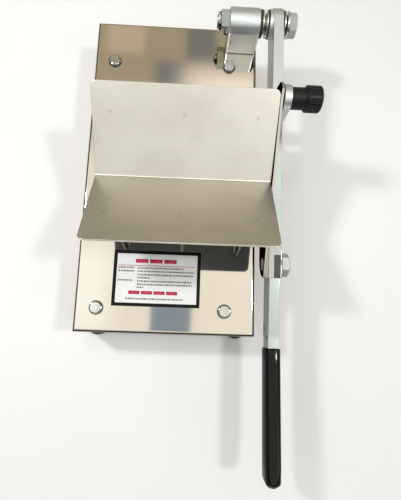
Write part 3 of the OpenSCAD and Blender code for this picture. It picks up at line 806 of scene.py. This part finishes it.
@dataclass
class HexBolt:
    """A bolt along X whose hex head has a flat on top, a chamfer and a round face."""

    node: str
    af: float = 19 * MM
    head_h: float = 7.5 * MM
    shank_r: float = 6 * MM
    thread_r: float = 4 * MM
    thread_len: float = 3.5 * MM
    tip: float = 0.4 * MM
    face_share: float = 0.43
    """Radius of the round face, as a share of the width across flats."""
    chamfer: float = math.radians(30)
    steps: int = 72

    def hex_r(self, a: float) -> float:
        """Gives the distance from the axis to the hexagon's side at an angle."""
        return self.af / 2 / math.cos(a % HEX_TURN - HEX_TURN / 2)

    def profile(self, a: float) -> list[tuple[float, float]]:
        """Gives the outline at an angle, from the tip to the head's face.

        Args:
            a: Angle about the axis.

        Returns:
            Places along the axis from the tip, each with its radius.
        """
        low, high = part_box(self.node)
        end = high.x - low.x
        under = end - self.head_h
        face_r = self.af * self.face_share
        shoulder = end - (self.hex_r(a) - face_r) * math.tan(self.chamfer)
        return [
            (0.0, self.thread_r - self.tip),
            (self.tip, self.thread_r),
            (self.thread_len, self.thread_r),
            (self.thread_len, self.shank_r),
            (under, self.shank_r),
            (under, self.hex_r(a)),
            (shoulder, self.hex_r(a)),
            (end, face_r),
        ]

    def draw(self, work: WorkMesh) -> None:
        """Draws the bolt as rings along its axis.

        Args:
            work: Mesh that is drawn into.
        """
        low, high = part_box(self.node)
        middle = (low + high) / 2
        angles = [2 * math.pi * step / self.steps for step in range(self.steps)]
        outlines = [self.profile(a) for a in angles]
        rings = []
        for row in zip(*outlines):
            ring = []
            for a, (along, r) in zip(angles, row):
                place = (low.x + along, middle.y + r * math.cos(a), middle.z + r * math.sin(a))
                ring.append(work.verts.new(place))
            rings.append(ring)
        skin_rings(work, rings)


@dataclass
class LabelPrint:
    """Plain print on the label: a rule and rows of bars, in two colours.

    Places are shares of the printed field's width and height, from its upper left.
    """

    border: float = 3 * MM
    ink: float = 0.04 * MM
    heading: tuple[float, float, float, float, int] = (0.23, 0.76, 0.105, 0.185, 3)
    """Left, right, top and bottom of a row of bars, and their count."""
    footer: tuple[float, float, float, float, int] = (0.16, 0.78, 0.755, 0.825, 4)
    bar_share: float = 0.88
    """Share of its step that each of those bars fills."""
    rule: tuple[float, float, float, float] = (0.02, 0.97, 0.235, 0.247)
    rows: tuple[tuple[float, float, float], ...] = (
        (0.02, 0.22, 0.285),
        (0.02, 0.22, 0.355),
        (0.02, 0.20, 0.545),
        (0.26, 0.84, 0.290),
        (0.26, 0.96, 0.358),
        (0.26, 0.95, 0.428),
        (0.26, 0.41, 0.490),
        (0.26, 0.94, 0.560),
        (0.26, 0.94, 0.625),
        (0.26, 0.34, 0.685),
        (0.13, 0.83, 0.915),
    )
    """Left, right and middle height of each row of small bars."""
    row_h: float = 0.032
    small_w: Span = (0.012, 0.03)
    small_gap: Span = (0.006, 0.012)
    least_w: float = 0.01
    seed: int = 7

    def place(self, u: float, v: float, lift: float) -> Point:
        """Gives a point of the printed field.

        Args:
            u: Share of its width.
            v: Share of its height.
            lift: Height above the label.

        Returns:
            The point, in the part's frame.
        """
        low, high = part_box("label_plate")
        width = high.x - low.x - 2 * self.border
        depth = high.y - low.y - 2 * self.border
        return (low.x + self.border + u * width, high.y - self.border - v * depth, high.z + lift)

    def bar(self, work: WorkMesh, u0: float, u1: float, v0: float, v1: float) -> None:
        """Adds one bar of ink between two shares each way."""
        add_slab(work, self.place(u0, v1, 0.0), self.place(u1, v0, self.ink))

    def draw_red(self, work: WorkMesh) -> None:
        """Draws the heading's and the footer's plain bars and the rule.

        Args:
            work: Mesh that is drawn into.
        """
        self.bar(work, *self.rule)
        for u0, u1, v0, v1, count in (self.heading, self.footer):
            step = (u1 - u0) / count
            for i in range(count):
                left = u0 + step * i
                self.bar(work, left, left + step * self.bar_share, v0, v1)

    def draw_grey(self, work: WorkMesh) -> None:
        """Draws the rows of small bars.

        Args:
            work: Mesh that is drawn into.
        """
        draws = random.Random(self.seed)
        for u0, u1, v in self.rows:
            left = u0
            while left < u1 - self.least_w:
                width = draws.uniform(*self.small_w)
                self.bar(work, left, min(left + width, u1), v - self.row_h / 2, v + self.row_h / 2)
                left += width + draws.uniform(*self.small_gap)


@dataclass
class BaseBox(SubAssembly):
    """The folded base with its feet, bolts, rails, label and the arm's rest."""

    body: Body = Body.BASE
    edges: Edges = (
        ("base_shell", 0.7 * MM),
        ("base_rails", 0.3 * MM),
        ("base_bolts", 0.35 * MM),
        ("base_nuts", 0.3 * MM),
        ("foot_pads", 0.8 * MM),
        ("foot_screws", 0.3 * MM),
        ("foot_nuts", 0.3 * MM),
        ("label_plate", 0.1 * MM),
        ("label_frame", 0.1 * MM),
        ("rest_bracket", 0.5 * MM),
        ("rest_bumper", 0.8 * MM),
        ("rest_screws", 0.5 * MM),
        ("rest_nuts", 0.3 * MM),
    )
    label: LabelPrint = field(default_factory=LabelPrint)
    bolt_af: float = 10 * MM

    def bolt_places(self) -> tuple[Point, ...]:
        """Gives where the four bolts are.

        Returns:
            The bolts' middles, on the base's top.
        """
        low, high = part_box("base_bolts")
        in_x = self.bolt_af / math.sqrt(3)
        in_y = self.bolt_af / 2
        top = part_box("base_shell")[1].z
        return tuple(
            (x, y, top) for x in (low.x + in_x, high.x - in_x) for y in (low.y + in_y, high.y - in_y)
        )

    def add_meshes(self) -> None:
        """Prints the label."""
        self.add(mesh_piece("label_red_marks", self.label.draw_red), "red_ink", "label_white")
        self.add(mesh_piece("label_grey_rows", self.label.draw_grey), "grey_ink", "label_white")


@dataclass
class Trough(SubAssembly):
    """The V trough on its three welded ribs."""

    body: Body = Body.BASE
    edges: Edges = (
        ("trough", 0.35 * MM),
        ("rib_left", 0.3 * MM),
        ("rib_middle", 0.3 * MM),
        ("rib_right", 0.3 * MM),
        ("rib_screws", 0.3 * MM),
        ("rib_nuts", 0.3 * MM),
    )
    slope: float = math.radians(31)
    sheet: float = 1.5 * MM
    rib_sheet: float = 2 * MM
    rear_weld: float = 50 * MM
    front_weld: float = 45 * MM
    bead_r: float = 1.3 * MM
    bead_len: float = 11 * MM
    bead_end: float = 0.08
    """Share of the bead's taper that is cut off at each end."""
    bead_lumps: Span = (0.85, 1.1)
    bead_rings: int = 9
    bead_sides: int = 10
    seed: int = 3

    def valley(self) -> Vector:
        """Gives where the sheet is folded.

        Returns:
            The fold's middle, on the sheet's upper side.
        """
        low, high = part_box("trough")
        rise = (high.y - low.y) / 2 * math.tan(self.slope)
        return Vector(((low.x + high.x) / 2, (low.y + high.y) / 2, high.z - rise))

    def rib_faces(self) -> list[float]:
        """Gives the place along X of the left face of each rib's upright plate."""
        plates_left = [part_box(rib)[0].x for rib in ("rib_left", "rib_middle")]
        return [*plates_left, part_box("rib_right")[1].x - self.rib_sheet]

    def plate_welds(self) -> tuple[tuple[int, float], ...]:
        """Gives the side of each plate, 1 at the rear, and how far up it the welds are."""
        return ((1, self.rear_weld), (-1, self.front_weld))

    def add_meshes(self) -> None:
        """Adds the weld beads between the ribs and the sheet."""
        self.add(mesh_piece("rib_welds", self.draw_beads), "weld_bead", "rib_steel")

    def draw_beads(self, work: WorkMesh) -> None:
        """Draws a lumpy bead on both sides of each rib, under each plate.

        Args:
            work: Mesh that is drawn into.
        """
        valley = self.valley()
        draws = random.Random(self.seed)
        for face in self.rib_faces():
            for side, along in self.plate_welds():
                for x in (face, face + self.rib_sheet):
                    self.draw_bead(work, Vector((x, valley.y, valley.z)), side, along, draws)

    def draw_bead(
        self, work: WorkMesh, foot: Vector, side: int, along: float, draws: random.Random
    ) -> None:
        """Draws one bead as a short lumpy tube under a plate.

        Args:
            work: Mesh that is drawn into.
            foot: Point of the valley at the rib's face.
            side: 1 for the rear plate, -1 for the front one.
            along: Distance of the bead's middle up the slope.
            draws: Source of the lumps.
        """
        up = Vector((0, side * math.cos(self.slope), math.sin(self.slope)))
        down = Vector((0, side * math.sin(self.slope), -math.cos(self.slope)))
        rings = []
        for step in range(self.bead_rings):
            t = step / (self.bead_rings - 1)
            middle = foot + up * (along + (t - 0.5) * self.bead_len) + down * self.sheet
            taper = math.sin(math.pi * (self.bead_end + (1 - 2 * self.bead_end) * t)) ** 0.5
            r = self.bead_r * taper * draws.uniform(*self.bead_lumps)
            ring = []
            for turn in range(self.bead_sides):
                a = 2 * math.pi * turn / self.bead_sides
                rim = middle + Vector((r * math.cos(a), 0, 0)) + down * r * math.sin(a)
                ring.append(work.verts.new(rim))
            rings.append(ring)
        skin_rings(work, rings)

    def weld_spots(self) -> tuple[Point, ...]:
        """Gives where the ribs' welds show through the sheet.

        Returns:
            The six places, on the sheet's upper side.
        """
        valley = self.valley()
        spots = []
        for face in self.rib_faces():
            for side, along in self.plate_welds():
                y = valley.y + side * along * math.cos(self.slope)
                spots.append((face + self.rib_sheet / 2, y, valley.z + along * math.sin(self.slope)))
        return tuple(spots)


@dataclass
class Pivot(SubAssembly):
    """The post, its bolt and nut, and the stack of friction washers and cup springs."""

    body: Body = Body.BASE
    edges: Edges = (
        ("pivot_post", 2.0 * MM),
        ("post_plate", 0.4 * MM),
        ("post_screws", 0.4 * MM),
        ("pivot_bolt", 0.5 * MM),
        ("pivot_nut", 0.5 * MM),
        ("friction_washers", 0.3 * MM),
        ("cup_springs", 0.2 * MM),
        ("pivot_washer", 0.25 * MM),
    )
    cast: tuple[str, ...] = ("pivot_post",)


@dataclass
class KnifeArm(SubAssembly):
    """The lever with its blade, clip, bolt and grip."""

    body: Body = Body.ARM
    edges: Edges = (
        ("knife_arm", 1.2 * MM),
        ("arm_bush", 0.3 * MM),
        ("blade", 0.1 * MM),
        ("blade_clip", 0.4 * MM),
        ("blade_washer", 0.3 * MM),
        ("blade_lock_washer", 0.3 * MM),
        ("blade_nut", 0.2 * MM),
        ("pin_sleeve", 0.3 * MM),
        ("pin_spring", 0.05 * MM),
    )
    grip: DippedGrip = field(default_factory=DippedGrip)
    bolt: HexBolt = field(default_factory=lambda: HexBolt("blade_bolt"))
    bolt_edge: float = 0.25 * MM
    # Inset, rim, overhang and length of the painted dark reflection on the clip's top.
    dark_reflection_in: float = 4.6 * MM
    dark_reflection_rim: float = 0.4 * MM
    dark_reflection_past: float = 1 * MM
    dark_reflection_len: float = 20 * MM

    def clip_dark_reflection(self) -> tuple[Point, Point]:
        """Gives the oblong of painted dark reflection on the clip's outer half.

        Returns:
            Its lowest and highest corners.
        """
        low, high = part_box("blade_clip")
        return (
            (low.x + self.dark_reflection_in, low.y - self.dark_reflection_past, low.z),
            (high.x - self.dark_reflection_rim, low.y + self.dark_reflection_len, high.z),
        )

    def add_meshes(self) -> None:
        """Builds the dipped grip and the front bolt in place of their plain solids."""
        grip = mesh_piece("dipped_grip", self.grip.draw)
        self.add(grip, "grip_black", "grip_black", (self.grip.node,))
        bolt = mesh_piece("front_bolt", self.bolt.draw)
        soften(bolt, self.bolt_edge, segments=2)
        self.add(bolt, "zinc_steel", "zinc_steel", (self.bolt.node,))


@dataclass
class PullKnob(SubAssembly):
    """The knurled knob, its pin and the spring that the pin presses."""

    body: Body = Body.KNOB
    edges: Edges = (("pull_knob", 0.25 * MM), ("pull_pin", 0.3 * MM))
    spring: str = "pin_spring"
    seat_gap: float = 0.15 * MM
    pressed: float = 0.44
    """Share of its length that the spring keeps at full pull."""

    def add_meshes(self) -> None:
        """Gives the spring a mesh of its own."""
        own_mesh(frame["nodes"][self.spring])


@dataclass(frozen=True)
class Panel:
    """A soft-edged oblong of the room, flat on a ceiling one unit above the part."""

    low: tuple[float, float]
    high: tuple[float, float]
    soft: float
    colour: Colour


@dataclass(frozen=True)
class Lamp:
    """A soft square lamp that faces the part."""

    name: str
    place: Point
    size: float
    power: float


@dataclass
class Studio:
    """Floor, light and camera."""

    walls: Colour = (0.06, 0.06, 0.065)
    ceiling: Colour = (0.90, 0.89, 0.85)
    wall_to_ceiling: Span = (0.35, 0.75)
    panel_rise: Span = (0.0, 0.05)
    """Height over the horizon in which the panels fade in."""
    least_height: float = 0.02
    panels: tuple[Panel, ...] = (
        # The warm rear wall.
        Panel((-4.0, 0.52), (4.0, 9.0), 0.20, (0.375, 0.333, 0.25)),
        # A bright field to the left and a dim cool one overhead.
        Panel((-0.9, -0.06), (-0.20, 0.17), 0.05, (1.08, 1.12, 1.12)),
        Panel((-0.095, -0.10), (0.012, 0.06), 0.004, (0.25, 0.318, 0.405)),
        # Pale and dark fields of the rear wall, mirrored in the base's rear.
        Panel((-0.265, 0.76), (-0.155, 0.90), 0.012, (0.52, 0.44, 0.34)),
        Panel((-0.03, 0.735), (0.06, 0.90), 0.012, (0.20, 0.20, 0.21)),
        Panel((-0.12, 0.66), (-0.03, 0.74), 0.02, (0.22, 0.22, 0.24)),
        Panel((-0.03, 0.40), (0.40, 0.715), 0.06, (0.98, 0.92, 0.88)),
        # A bright field to the right, mirrored in the grip.
        Panel((1.10, -1.10), (1.90, -0.40), 0.15, (3.0, 3.1, 3.0)),
    )
    lamps: tuple[Lamp, ...] = (
        Lamp("lamp_left", (-0.45, 0.16, 0.72), 0.08, 2.6),
        Lamp("lamp_right", (0.476, -0.06, 1.0), 0.09, 2.9),
        Lamp("lamp_top", (-0.03, 0.22, 1.0), 0.12, 0.4),
    )
    floor_tint: Colour = (0.84, 0.84, 0.84)
    floor_shade: float = 0.97
    """Share of the floor's tint that its darker clouds have."""
    floor_scale: float = 3
    floor_rough: float = 0.6
    floor_size: float = 6.0
    camera_at: Point = (-1.15 * MM, -76.41 * MM, 396.9 * MM)
    camera_yaw: float = math.radians(-10.17)
    camera_elevation: float = math.radians(79.88)
    camera_roll: float = math.radians(12.16)
    lens: float = 27.0
    sensor: float = 36.0
    clip_start: float = 0.01

    def build(self) -> None:
        """Makes the whole studio."""
        self.make_floor()
        self.make_world()
        self.make_lamps()
        self.make_camera()

    def make_floor(self) -> None:
        """Lays a pale floor under the feet."""
        half = self.floor_size / 2

        def draw(work: WorkMesh) -> None:
            """Draws one square."""
            corners = [(-half, -half, 0), (half, -half, 0), (half, half, 0), (-half, half, 0)]
            work.faces.new([work.verts.new(c) for c in corners])

        floor = mesh_piece("floor", draw)
        surface = Surface("floor", {"Specular IOR Level": 0.2})
        clouds = surface.noise(self.floor_scale, detail=2.0)
        shade = tuple(c * self.floor_shade for c in self.floor_tint)
        colour = surface.fade(clouds, NOISE_MIDDLE, self.floor_tint, shade)
        floor.data.materials.append(surface.finish(colour, self.floor_rough))

    def make_world(self) -> None:
        """Sets a soft room: bright above, darker walls and a warm rear side."""
        world = bpy.data.worlds.new("studio")
        bpy.context.scene.world = world
        world.use_nodes = True
        graph = Graph(world.node_tree, "Generated")
        height = graph.part(graph.coords, Axis.Z)
        colour = graph.fade(height, self.wall_to_ceiling, self.walls, self.ceiling)
        level = graph.join("MAXIMUM", height, self.least_height)
        spots = [graph.join("DIVIDE", graph.part(graph.coords, axis), level) for axis in (Axis.X, Axis.Y)]
        for panel in self.panels:
            mark = graph.spread(height, *self.panel_rise, 0.0, 1.0)
            for spot, low, high in zip(spots, panel.low, panel.high):
                mark = graph.join("MULTIPLY", mark, graph.between(spot, low, high, panel.soft))
            colour = graph.blend(mark, colour, panel.colour)
        graph.feed(graph.tree.nodes["Background"].inputs["Color"], colour)

    def make_lamps(self) -> None:
        """Hangs the soft lamps, each facing the part."""
        for lamp in self.lamps:
            light = bpy.data.lights.new(lamp.name, "AREA")
            light.size = lamp.size
            light.energy = lamp.power
            piece = bpy.data.objects.new(lamp.name, light)
            piece.location = lamp.place
            piece.rotation_euler = (-Vector(lamp.place)).to_track_quat("-Z", "Y").to_euler()
            bpy.context.scene.collection.objects.link(piece)

    def make_camera(self) -> None:
        """Stands the camera where the picture was taken from."""
        yaw, lift, roll = self.camera_yaw, self.camera_elevation, self.camera_roll
        back = Vector((math.sin(yaw) * math.cos(lift), -math.cos(yaw) * math.cos(lift), math.sin(lift)))
        level = Vector((math.cos(yaw), math.sin(yaw), 0))
        rise = back.cross(level)
        right = math.cos(roll) * level + math.sin(roll) * rise
        up = -math.sin(roll) * level + math.cos(roll) * rise
        turn = Matrix((right, up, back)).transposed().to_4x4()
        data = bpy.data.cameras.new("camera")
        data.lens = self.lens
        data.sensor_width = self.sensor
        data.sensor_height = self.sensor
        data.clip_start = self.clip_start
        camera = bpy.data.objects.new("camera", data)
        camera.matrix_world = Matrix.Translation(self.camera_at) @ turn
        bpy.context.scene.collection.objects.link(camera)
        bpy.context.scene.camera = camera


def finishes(
    welds: tuple[Point, ...], bolts: tuple[Point, ...], clip_dark_reflection: tuple[Point, Point]
) -> dict[str, Finish]:
    """Gives every finish of the part.

    Args:
        welds: Places of the trough's weld marks.
        bolts: Places of the base's bolts, with painted shade round their heads.
        clip_dark_reflection: Corners of the clip's painted dark reflection.

    Returns:
        Finishes by slot, and those of small extra pieces by their own names.
    """
    return {
        "base_steel": SheetSteel(
            (0.91, 0.83, 0.71),
            (0.87, 0.79, 0.67),
            (0.04, 0.07),
            Axis.Y,
            # Painted shade: dark rings round the bolts' heads.
            spots=bolts,
            spot_tint=(0.10, 0.09, 0.08),
            spot_r=(5.9 * MM, 7.0 * MM),
            spot_share=0.85,
            # Painted dark reflection on the base's rounded folds.
            fold=(0.15, 0.14, 0.125),
        ),
        "trough_steel": SheetSteel(
            (0.80, 0.77, 0.685),
            (0.71, 0.68, 0.61),
            (0.28, 0.34),
            Axis.X,
            # Painted shade on the trough's underside.
            under=(0.07, 0.08, 0.09),
            spots=welds,
        ),
        # Painted shade: the ribs under the trough are tinted near black.
        "rib_steel": SheetSteel((0.22, 0.22, 0.21), (0.18, 0.175, 0.17), (0.34, 0.44), Axis.Z),
        # Painted dark reflection on an oblong of the clip's top.
        "clip_steel": SheetSteel(
            (0.66, 0.66, 0.63), (0.60, 0.60, 0.57), (0.07, 0.11), Axis.Y, dark_reflection_on=clip_dark_reflection
        ),
        # Painted shade on the hardware's slanted and upright faces.
        "zinc_steel": PlatedSteel(
            (0.78, 0.79, 0.76), (0.68, 0.68, 0.64), (0.07, 0.12), side=(0.36, 0.37, 0.35)
        ),
        "spring_steel": PlatedSteel((0.78, 0.77, 0.72), (0.64, 0.61, 0.55), (0.16, 0.26)),
        "dark_steel": PlatedSteel((0.06, 0.06, 0.06), (0.10, 0.09, 0.08), (0.30, 0.42)),
        "bush_bronze": PlatedSteel((0.62, 0.44, 0.22), (0.48, 0.33, 0.17), (0.28, 0.40)),
        "weld_bead": PlatedSteel((0.50, 0.48, 0.45), (0.34, 0.29, 0.25), (0.32, 0.50)),
        # The third colour is a painted dark reflection on the side that faces the trough.
        "blade_steel": GroundBlade(
            (0.80, 0.74, 0.64), (0.72, 0.66, 0.56), (0.12, 0.12, 0.11), (0.10, 0.18)
        ),
        # The fourth colour is painted shade towards the handle.
        "grey_paint": SilverPaint(
            (0.66, 0.71, 0.70), (0.74, 0.79, 0.78), (0.45, 0.47, 0.46), (0.57, 0.63, 0.605)
        ),
        "black_rubber": BlackPlastic(
            (0.016, 0.016, 0.017), (0.035, 0.034, 0.032), (0.55, 0.72), grain_scale=1800, grain_depth=14e-6
        ),
        "friction_black": BlackPlastic(
            (0.014, 0.014, 0.014), (0.03, 0.028, 0.026), (0.50, 0.66), grain_scale=2600, grain_depth=8e-6
        ),
        "grip_black": BlackPlastic(
            (0.002, 0.0022, 0.0021),
            (0.005, 0.0056, 0.0052),
            (0.08, 0.13),
            grain_scale=130,
            grain_depth=10e-6,
            shine=0.36,
            ior=1.45,
            # Painted shade: the grip's upright sides keep almost none of the shine.
            side_share=0.03,
        ),
        "knob_black": BlackPlastic(
            (0.007, 0.008, 0.008),
            (0.022, 0.021, 0.02),
            (0.36, 0.50),
            grain_scale=2400,
            grain_depth=6e-6,
            shine=0.22,
        ),
        "label_white": PrintedFilm((0.80, 0.80, 0.79), (0.77, 0.77, 0.76)),
        "label_black": PrintedFilm((0.006, 0.006, 0.007), (0.009, 0.009, 0.010), shine=0.12),
        "red_ink": PrintedFilm((0.58, 0.03, 0.09), (0.52, 0.03, 0.08)),
        "grey_ink": PrintedFilm((0.15, 0.145, 0.145), (0.20, 0.19, 0.19)),
    }


def main() -> None:
    """Builds the studio and the part."""
    logging.basicConfig(level=logging.INFO)
    bpy.context.scene.view_settings.view_transform = "Standard"
    Studio().build()
    palette = Palette()
    base = BaseBox(palette)
    trough = Trough(palette)
    pivot = Pivot(palette)
    arm = KnifeArm(palette)
    knob = PullKnob(palette)
    palette.finishes.update(finishes(trough.weld_spots(), base.bolt_places(), arm.clip_dark_reflection()))
    for assembly in (base, trough, pivot, arm, knob):
        assembly.build()


if __name__ == "__main__":
    main()
